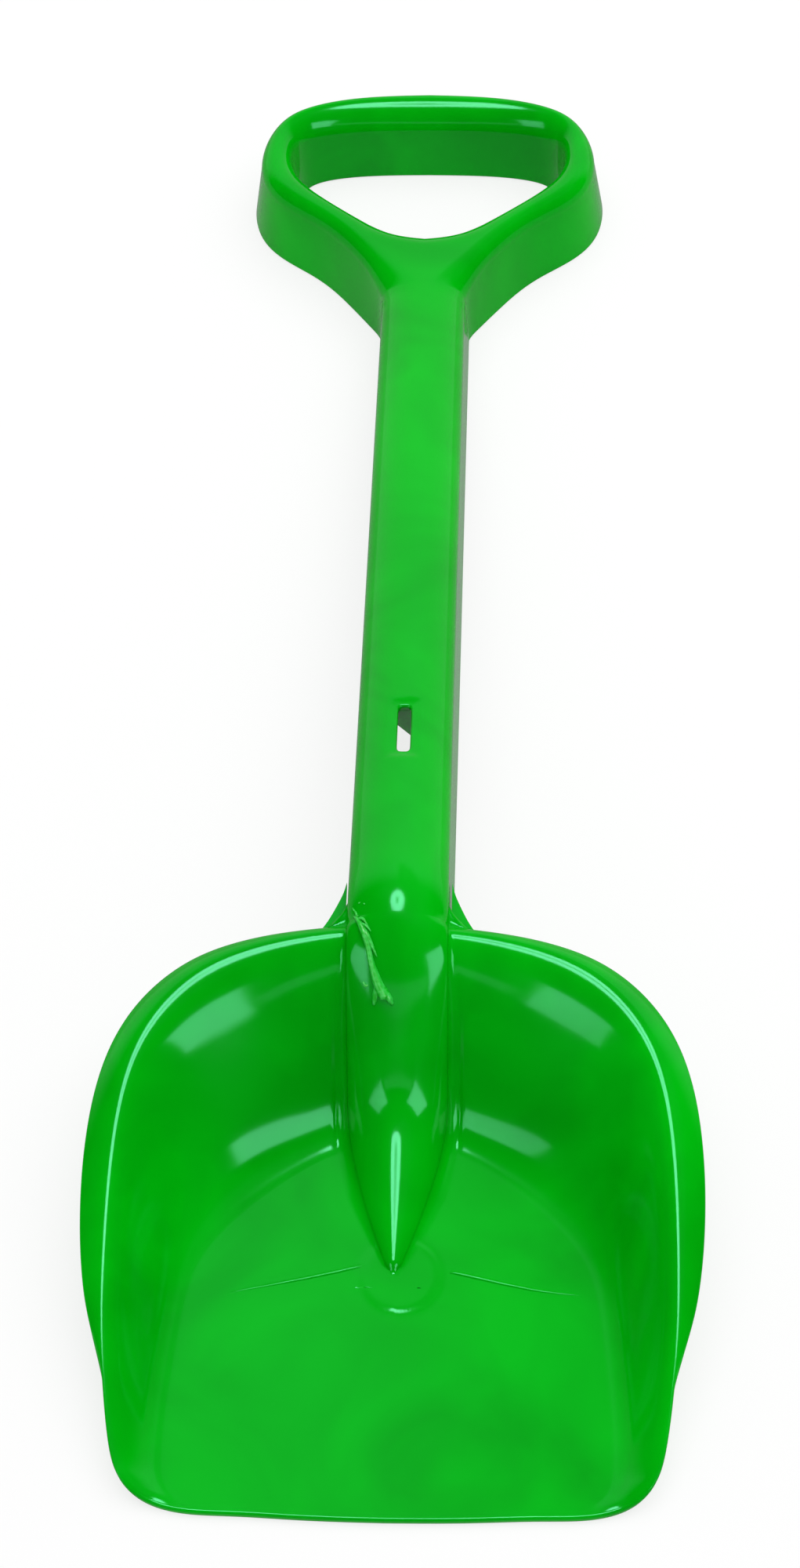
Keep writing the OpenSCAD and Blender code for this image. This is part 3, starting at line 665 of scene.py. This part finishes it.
def addPiece(name, points, faces, normals=None, caps=np.zeros((0, 4), int)):
    # a smooth mesh of the faces, with the given normals at its points; the caps are flat quads
    used = np.unique(np.r_[faces.ravel(), caps.ravel()])
    index = np.full(len(points), -1)
    index[used] = np.arange(len(used))
    polys = [list(dict.fromkeys(face)) for face in index[faces].tolist()] + index[caps].tolist()
    mesh = bpy.data.meshes.new(name)
    mesh.from_pydata(toFrame(points[used]).tolist(), [], polys)
    mesh.polygons.foreach_set("use_smooth", np.ones(len(polys), bool))
    if normals is not None:
        loopPoint = np.zeros(len(mesh.loops), int)
        mesh.loops.foreach_get("vertex_index", loopPoint)
        loopNormals = normals[used][loopPoint]
        polyNormals = np.zeros(3 * len(polys), np.float32)
        mesh.polygons.foreach_get("normal", polyNormals)
        flat = polyNormals.reshape(-1, 3)[len(faces):]
        loopNormals[len(loopPoint) - 4 * len(flat):] = np.repeat(flat, 4, axis=0)
        mesh.normals_split_custom_set(loopNormals.tolist())
    mesh.update()
    piece = bpy.data.objects.new(name, mesh)
    bpy.context.scene.collection.objects.link(piece)
    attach(piece, "root")
    return piece


# Materials


def hexColour(code):
    # sRGB hex to linear
    part = [int(code[i:i + 2], 16) / 255 for i in (1, 3, 5)]
    return [c / 12.92 if c <= 0.04045 else ((c + 0.055) / 1.055) ** 2.4 for c in part] + [1.0]


def addNode(tree, kind, settings=None, sources=None, **links):
    # settings are properties, or inputs by name or number; sources link inputs by number, links by name
    node = tree.nodes.new(kind)
    for key, value in (settings or {}).items():
        if isinstance(key, str) and hasattr(node, key) and key not in node.inputs:
            setattr(node, key, value)
        else:
            node.inputs[key].default_value = value
    for number, source in (sources or {}).items():
        tree.links.new(source, node.inputs[number])
    for socket, source in links.items():
        tree.links.new(source, node.inputs[socket.replace("_", " ")])
    return node


def newMaterial(name):
    material = bpy.data.materials.new(name)
    material.use_nodes = True
    material.node_tree.nodes.clear()
    return material, material.node_tree


# injection-moulded polypropylene from a polished mould: even saturated green and a clear gloss like a mirror,
# with a faint waviness in it and cloudy flow marks that only shift the colour a little; sizes in mm
mouldedLook = {
    "colours": ("#00A207", "#00B80C"), "ends": (0.35, 0.7), "cloud": 62.5, "cloudDetail": 3.0, "curl": 1.2,
    "wave": 14.3, "waveStrength": 0.05, "waveHeight": 0.6,
    "roughness": 0.11, "ior": 1.5, "glossTint": (0.28, 1, 0.68, 1),
}
# torn flash of the same polypropylene, less glossy; its paler, milky green is painted light: it stands in for
# light shining through the thin strand and falling on it
flashPaintedLightLook = {
    "colours": ("#06BE1A", "#3AD455"), "ends": (0.35, 0.65), "cloud": 1.11, "cloudDetail": 2.0, "curl": 0.0,
    "wave": 1.11, "waveStrength": 0.3, "waveHeight": 0.3,
    "roughness": 0.3, "ior": 1.5, "glossTint": (1, 1, 1, 1),
}


def makePolypropylene(name, look):
    material, tree = newMaterial(name)
    place = addNode(tree, "ShaderNodeTexCoord").outputs["Object"]
    cloud = addNode(tree, "ShaderNodeTexNoise", {"Scale": 1000 / look["cloud"], "Detail": look["cloudDetail"],
                                                 "Distortion": look["curl"]}, Vector=place)
    ramp = addNode(tree, "ShaderNodeValToRGB", Fac=cloud.outputs["Fac"])
    for stop, end, colour in zip(ramp.color_ramp.elements, look["ends"], look["colours"]):
        stop.position = end
        stop.color = hexColour(colour)
    wave = addNode(tree, "ShaderNodeTexNoise", {"Scale": 1000 / look["wave"], "Detail": 2.0}, Vector=place)
    bump = addNode(tree, "ShaderNodeBump",
                   {"Strength": look["waveStrength"], "Distance": look["waveHeight"] / 1000},
                   Height=wave.outputs["Fac"])
    shader = addNode(tree, "ShaderNodeBsdfPrincipled",
                     {"Roughness": look["roughness"], "IOR": look["ior"], "Specular Tint": look["glossTint"]},
                     Base_Color=ramp.outputs["Color"], Normal=bump.outputs["Normal"])
    addNode(tree, "ShaderNodeOutputMaterial", Surface=shader.outputs["BSDF"])
    return material


green = makePolypropylene("glossyPolypropyleneGreen", mouldedLook)
# the flash string's paler green is painted light, for light through and on the thin strand
flashPaintedLight = makePolypropylene("flashPolypropylenePaintedLight", flashPaintedLightLook)
pieceNames = {"floor_pan": "scoopFloor", "spine": "scoopSpine", "left_wall": "scoopWallLeft",
              "right_wall": "scoopWallRight", "left_rim": "rolledRimLeft", "right_rim": "rolledRimRight",
              "shaft": "shaftShell", "grip_yoke": "gripYoke", "grip_bar": "gripBar"}
for number, node in enumerate(names):
    piece = addPiece(pieceNames[node], shellPoints, shellFaces[shellNode == number], shellNormals,
                     capFaces[capNode == number])
    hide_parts(node)
    piece.data.materials.append(green)
for node in ("shaft_ribs", "left_gusset", "right_gusset"):
    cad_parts[node].data.materials.clear()
    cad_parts[node].data.materials.append(green)
print("shell pieces:", ", ".join(pieceNames.values()))

# Flash string and floor creases: thin strands over the skin

strandMake = {"sides": 10, "spanSteps": 8, "smoothing": 2, "leastRadius": 0.02, "endShare": 0.7}
# rows are x, y, radius, and height of the strand's middle over the skin
flashString = {"flatness": 0.8, "routes": [
    [[-12.2, 158.3, 0.25, 0.2], [-10.6, 155.6, 0.7, 0.6], [-9.0, 152.4, 1.05, 0.8],
     [-7.9, 149.2, 0.85, 0.8], [-7.2, 146.2, 0.9, 0.7], [-6.3, 143.9, 1.1, 0.7], [-5.0, 141.2, 1.45, 0.7],
     [-3.2, 138.8, 1.7, 0.5]],
    [[-9.2, 153.2, 0.7, 0.8], [-8.0, 151.4, 0.6, 1.1], [-6.6, 148.8, 0.45, 0.9], [-5.4, 146.9, 0.12, 0.4]],
    [[-10.9, 156.4, 0.5, 0.7], [-9.4, 155.7, 0.42, 1.1], [-8.0, 153.9, 0.15, 1.0]],
    [[-9.8, 154.6, 0.5, 0.8], [-8.4, 153.8, 0.4, 1.1], [-7.2, 152.5, 0.12, 0.9]],
    [[-12.6, 160.6, 0.15, 0.1], [-11.7, 158.9, 0.3, 0.3], [-11.0, 157.3, 0.4, 0.5]],
    [[-4.9, 141.0, 1.2, 0.6], [-5.9, 139.2, 0.95, 0.4], [-6.3, 137.6, 0.4, 0.2]],
    [[-3.6, 140.0, 1.2, 0.6], [-2.0, 138.4, 1.0, 0.5], [-1.1, 137.4, 0.5, 0.3]],
    [[-9.3, 142.2, 0.25, 0.1], [-8.6, 141.4, 0.5, 0.2], [-7.9, 141.5, 0.2, 0.1]],
    [[-10.9, 161.3, 0.15, 0.0], [-10.7, 161.2, 0.25, 0.08], [-10.4, 161.3, 0.12, 0.0]],
    [[-9.4, 160.7, 0.15, 0.0], [-9.2, 160.5, 0.27, 0.08], [-9.0, 160.6, 0.12, 0.0]],
]}
floorCreases = {"flatness": 0.9, "routes": [
    [[-8.4, 75.2, 0.15, -0.1], [-10.5, 74.9, 0.6, -0.18], [-17.8, 72.9, 0.6, -0.16],
     [-30.8, 69.8, 0.5, -0.16], [-44.8, 66.7, 0.15, -0.1]],
    [[15.8, 73.2, 0.15, -0.1], [17.5, 73.5, 0.6, -0.18], [30.1, 70.6, 0.6, -0.16], [41.0, 68.4, 0.5, -0.16],
     [51.5, 67.2, 0.15, -0.1]],
]}
facingUp = points[pointNormals(points, quads)[0][:, 2] > 0.15]


def skinHeight(x, y):
    # height of the outer skin over a point of its plan: the plane through the seven nearest points facing up
    gap = np.hypot(facingUp[:, 0] - x, facingUp[:, 1] - y)
    near = facingUp[np.argsort(gap)[:7]]
    terms = np.stack([np.ones(len(near)), near[:, 0] - x, near[:, 1] - y], 1)
    return float(np.linalg.lstsq(terms, near[:, 2], rcond=None)[0][0])


def strand(route, flatness):
    # tube along a curved route over the skin, as an ellipse round each point of it; both ends close in a cone
    line = smoothLine(np.array(route, float), strandMake["spanSteps"])
    heights = np.array([[skinHeight(x, y)] for x, y in line[:, :2]])
    heights = relaxed(heights, strandMake["smoothing"])[:, 0]
    path = grid(line[:, 0], line[:, 1], heights + line[:, 3])
    radius = np.maximum(line[:, 2], strandMake["leastRadius"])
    along = headings(path, 1)
    across = unit(np.cross(along, [0, 0, 1.0]))
    up = np.cross(across, along)
    sides = strandMake["sides"]
    turn = np.linspace(0, 2 * math.pi, sides, endpoint=False)[None, :, None]
    rings = path[:, None] + radius[:, None, None] * (across[:, None] * np.cos(turn)
                                                    + flatness * up[:, None] * np.sin(turn))
    beyond = along * radius[:, None] * strandMake["endShare"]
    ends = np.stack([path[0] - beyond[0], path[-1] + beyond[-1]])
    count = len(path)
    at = np.arange(count * sides).reshape(count, sides)
    nextAt = np.roll(at, -1, axis=1)
    body = np.stack([at[:-1], at[1:], nextAt[1:], nextAt[:-1]], -1).reshape(-1, 4)
    tips = np.array([[count * sides], [count * sides + 1]]).repeat(sides, axis=1)
    capFirst = np.stack([at[0], nextAt[0], tips[0], tips[0]], 1)
    capLast = np.stack([nextAt[-1], at[-1], tips[1], tips[1]], 1)
    return np.vstack([rings.reshape(-1, 3), ends]), np.vstack([body, capFirst, capLast])


def addStrands(name, strands, material):
    points, faces, first = [], [], 0
    for route in strands["routes"]:
        strandPoints, strandFaces = strand(route, strands["flatness"])
        points.append(strandPoints)
        faces.append(strandFaces + first)
        first += len(strandPoints)
    addPiece(name, np.vstack(points), np.vstack(faces)).data.materials.append(material)


# the flash string takes the paler green that paints light through it
addStrands("flashString", flashString, flashPaintedLight)
addStrands("floorCreases", floorCreases, green)
print("flash string and creases are on")

# Camera, light and floor

view = {
    "place": (0.04051, -0.63981, 0.92694), "yaw": 3.98, "pitch": 55.9, "roll": -2.77,
    "focal": 4707.8, "height": 2000,   # focal length and height of the picture in pixels
    "film": 36,
}


def makeCamera():
    data = bpy.data.cameras.new("camera")
    data.sensor_fit = "VERTICAL"
    data.sensor_height = view["film"]
    data.lens = view["focal"] / view["height"] * view["film"]
    data.clip_start, data.clip_end = 0.05, 20
    camera = bpy.data.objects.new("camera", data)
    yaw, pitch, roll = (math.radians(view[k]) for k in ("yaw", "pitch", "roll"))
    forward = np.array([0, math.cos(pitch), -math.sin(pitch)])
    up = np.array([0, math.sin(pitch), math.cos(pitch)])
    spun = np.array([[math.cos(yaw), -math.sin(yaw), 0], [math.sin(yaw), math.cos(yaw), 0], [0, 0, 1]])
    # the picture's axes are turned by the roll against the level ones
    levelRight, levelUp = spun[:, 0], spun @ up
    matrix = np.eye(4)
    matrix[:3, 0] = math.cos(roll) * levelRight + math.sin(roll) * levelUp
    matrix[:3, 1] = -math.sin(roll) * levelRight + math.cos(roll) * levelUp
    matrix[:3, 2] = -(spun @ forward)
    matrix[:3, 3] = view["place"]
    camera.matrix_world = Matrix(matrix.tolist())
    bpy.context.scene.collection.objects.link(camera)
    bpy.context.scene.camera = camera


makeCamera()

studio = {
    "middle": (0.0, -0.13, 0.03),      # point of the scoop that the gloss's lamps are turned to
    "fillPlace": (0.3, 0.38, 1.7), "fillSize": 2.2, "fillPower": 31,
    "glowDistance": 1.5,
    "windowAzimuth": 38.5, "windowElevation": 29.0, "windowSpan": 27.0, "windowRise": 20.0, "windowGlow": 5.0,
    "slats": 11, "slatShare": 0.72, "slatDimmest": 0.7,
    "wallElevation": 24.0, "wallSpan": 40.0, "wallRise": 6.0, "wallGlow": 0.8,
    "overhead": (-40, 87.5),           # azimuth and elevation
    "overheadSpan": 23.0, "overheadRise": 22.0, "overheadGlow": 10.0, "core": (0.03, 0.1), "coreNearer": 0.03,
    "level": 0.5,          # brightness all round that lights the object
    "openSide": 0.72,      # brightness of the pale side behind the grip, as the gloss shows it
    "openFrom": (0.28, 0.5),           # how far a direction points back where it begins and where it is full
    "darkCorner": 0.3,     # what is left of it in the dark corner of the ceiling
    "cornerHigh": (0.76, 0.82), "cornerRight": (-0.05, 0.0),   # the same, up and to the right
    "floorSize": 9.0, "floorShade": 0.9,
    "floorGloss": 0.35,    # brightness of the floor as the gloss shows it
    "floorSeen": (0.78, 1.0), "floorFades": (0.35, 1.0),   # own light for the camera: near and far, and where
}


def addLamp(name, place, size, power, glossy=True, diffuse=True, target=(0, 0, 0)):
    # rectangular lamp at a place, turned to its target
    data = bpy.data.lights.new(name, "AREA")
    data.shape = "RECTANGLE"
    data.size, data.size_y = size
    data.energy = power
    lamp = bpy.data.objects.new(name, data)
    lamp.location = place
    way = np.array(target, float) - np.array(place, float)
    lamp.rotation_euler = Vector(way).to_track_quat("-Z", "Y").to_euler()
    lamp.visible_glossy = glossy
    lamp.visible_diffuse = diffuse
    lamp.visible_camera = False
    bpy.context.scene.collection.objects.link(lamp)
    return lamp


def toward(azimuth, elevation, distance):
    # azimuth in degrees from the digging side toward the right, elevation over the ground
    a, e = math.radians(azimuth), math.radians(elevation)
    way = np.array([math.sin(a) * math.cos(e), -math.cos(a) * math.cos(e), math.sin(e)])
    return np.array(studio["middle"]) + distance * way


def addGlow(name, azimuth, elevation, span, rise, brightness):
    # a lamp that only the gloss shows, given by the angles that it covers and its own brightness
    distance = studio["glowDistance"]
    size = [2 * distance * math.tan(math.radians(angle / 2)) for angle in (span, rise)]
    return addLamp(name, toward(azimuth, elevation, distance), size,
                   math.pi * size[0] * size[1] * brightness, diffuse=False, target=studio["middle"])


def addCore():
    # dark oval in the middle of the overhead lamp, a little nearer than it
    mesh = bpy.data.meshes.new("overheadCap")
    turn = np.linspace(0, 2 * math.pi, 24, endpoint=False)
    centre = toward(*studio["overhead"], studio["glowDistance"] - studio["coreNearer"])
    disc = centre + grid(np.cos(turn) * studio["core"][0], np.sin(turn) * studio["core"][1], 0.0)
    mesh.from_pydata(disc.tolist(), [], [list(range(len(turn)))])
    cap = bpy.data.objects.new("overheadCap", mesh)
    bpy.context.scene.collection.objects.link(cap)
    material, tree = newMaterial("blackCap")
    dark = addNode(tree, "ShaderNodeBsdfDiffuse", {"Color": (0.02, 0.02, 0.02, 1)})
    addNode(tree, "ShaderNodeOutputMaterial", Surface=dark.outputs["BSDF"])
    mesh.materials.append(material)
    cap.visible_camera = cap.visible_diffuse = cap.visible_shadow = False


def makeLamps():
    size = studio["fillSize"]
    azimuth, elevation, rise = studio["windowAzimuth"], studio["windowElevation"], studio["windowRise"]
    addLamp("softFill", studio["fillPlace"], (size, size), studio["fillPower"], glossy=False)
    addGlow("plainWindow", azimuth, elevation, studio["windowSpan"], rise, studio["windowGlow"])
    slats = studio["slats"]
    pitch = studio["windowSpan"] / slats
    for number in range(slats):
        addGlow("slattedWindow" + str(number + 1), -azimuth + (number - (slats - 1) / 2) * pitch, elevation,
                pitch * studio["slatShare"], rise,
                studio["windowGlow"] * mix(studio["slatDimmest"], 1.0, number / slats))
    addGlow("paleWall", 0, studio["wallElevation"], studio["wallSpan"], studio["wallRise"],
            studio["wallGlow"])
    overhead = addGlow("overhead", *studio["overhead"], studio["overheadSpan"], studio["overheadRise"],
                       studio["overheadGlow"])
    overhead.data.shape = "ELLIPSE"
    overhead.rotation_euler = (0, 0, 0)
    addCore()


makeLamps()


def rangeOf(start, end, low=0.0, high=1.0):
    # settings of a range: low at start, high at end
    return {"From Min": start, "From Max": end, "To Min": low, "To Max": high}


def makeWorld():
    # even light on the object; the gloss sees only a pale side behind the grip; the camera sees white
    world = bpy.data.worlds.new("studio")
    bpy.context.scene.world = world
    world.use_nodes = True
    tree = world.node_tree
    tree.nodes.clear()
    path = addNode(tree, "ShaderNodeLightPath")
    direction = addNode(tree, "ShaderNodeTexCoord").outputs["Generated"]
    split = addNode(tree, "ShaderNodeSeparateXYZ", Vector=direction)
    behind = addNode(tree, "ShaderNodeMapRange", rangeOf(*studio["openFrom"], 0.0, studio["openSide"]),
                     Value=split.outputs["Y"])
    # high up over the right side the ceiling is darker, which the right half of the scoop's floor shows
    high = addNode(tree, "ShaderNodeMapRange", rangeOf(*studio["cornerHigh"]), Value=split.outputs["Z"])
    darkened = 1 - studio["darkCorner"]
    rightward = addNode(tree, "ShaderNodeMapRange", rangeOf(*studio["cornerRight"], 0.0, darkened),
                        Value=split.outputs["X"])
    corner = addNode(tree, "ShaderNodeMath", {"operation": "MULTIPLY"},
                     {0: high.outputs["Result"], 1: rightward.outputs["Result"]})
    rest = addNode(tree, "ShaderNodeMath", {"operation": "SUBTRACT", 0: 1.0}, {1: corner.outputs[0]})
    ceiling = addNode(tree, "ShaderNodeMath", {"operation": "MULTIPLY"},
                      {0: behind.outputs["Result"], 1: rest.outputs[0]})
    level = addNode(tree, "ShaderNodeMix", {"data_type": "FLOAT", 2: studio["level"]},
                    {0: path.outputs["Is Glossy Ray"], 3: ceiling.outputs[0]})
    shown = addNode(tree, "ShaderNodeMix", {"data_type": "FLOAT", 3: 1.0},
                    {0: path.outputs["Is Camera Ray"], 2: level.outputs[0]})
    sky = addNode(tree, "ShaderNodeBackground", {"Color": (1, 1, 1, 1)}, Strength=shown.outputs[0])
    addNode(tree, "ShaderNodeOutputWorld", Surface=sky.outputs["Background"])


def makeFloor():
    # white sweep: the camera sees it nearly white, and quite white from a distance on; the gloss sees it
    # dimmer; what is left of its own shade keeps the shovel's shadow
    size, shade = studio["floorSize"], studio["floorShade"]
    mesh = bpy.data.meshes.new("studioFloor")
    mesh.from_pydata([(-size, -size, 0), (size, -size, 0), (size, size, 0), (-size, size, 0)], [],
                     [(0, 1, 2, 3)])
    floor = bpy.data.objects.new("studioFloor", mesh)
    floor.location.z = -0.0002     # just under the shovel
    bpy.context.scene.collection.objects.link(floor)
    material, tree = newMaterial("whiteSweep")
    path = addNode(tree, "ShaderNodeLightPath")
    cloth = addNode(tree, "ShaderNodeBsdfDiffuse", {"Color": (shade, shade, shade, 1)})
    strength = addNode(tree, "ShaderNodeMapRange", {"To Min": 1.0, "To Max": studio["floorGloss"]},
                       Value=path.outputs["Is Glossy Ray"])
    glow = addNode(tree, "ShaderNodeEmission", {"Color": (1, 1, 1, 1)}, Strength=strength.outputs["Result"])
    place = addNode(tree, "ShaderNodeTexCoord").outputs["Object"]
    far = addNode(tree, "ShaderNodeVectorMath", {"operation": "LENGTH"}, Vector=place)
    seen = addNode(tree, "ShaderNodeMapRange", rangeOf(*studio["floorFades"], *studio["floorSeen"]),
                   Value=far.outputs["Value"])
    forCamera = addNode(tree, "ShaderNodeMath", {"operation": "MULTIPLY"},
                        {0: path.outputs["Is Camera Ray"], 1: seen.outputs["Result"]})
    share = addNode(tree, "ShaderNodeMath", {"operation": "MAXIMUM"},
                    {0: forCamera.outputs[0], 1: path.outputs["Is Glossy Ray"]})
    blend = addNode(tree, "ShaderNodeMixShader", None,
                    {0: share.outputs[0], 1: cloth.outputs[0], 2: glow.outputs[0]})
    addNode(tree, "ShaderNodeOutputMaterial", Surface=blend.outputs[0])
    mesh.materials.append(material)


makeWorld()
makeFloor()
bpy.context.scene.view_settings.view_transform = "Standard"
print("camera, lamps and floor are set")
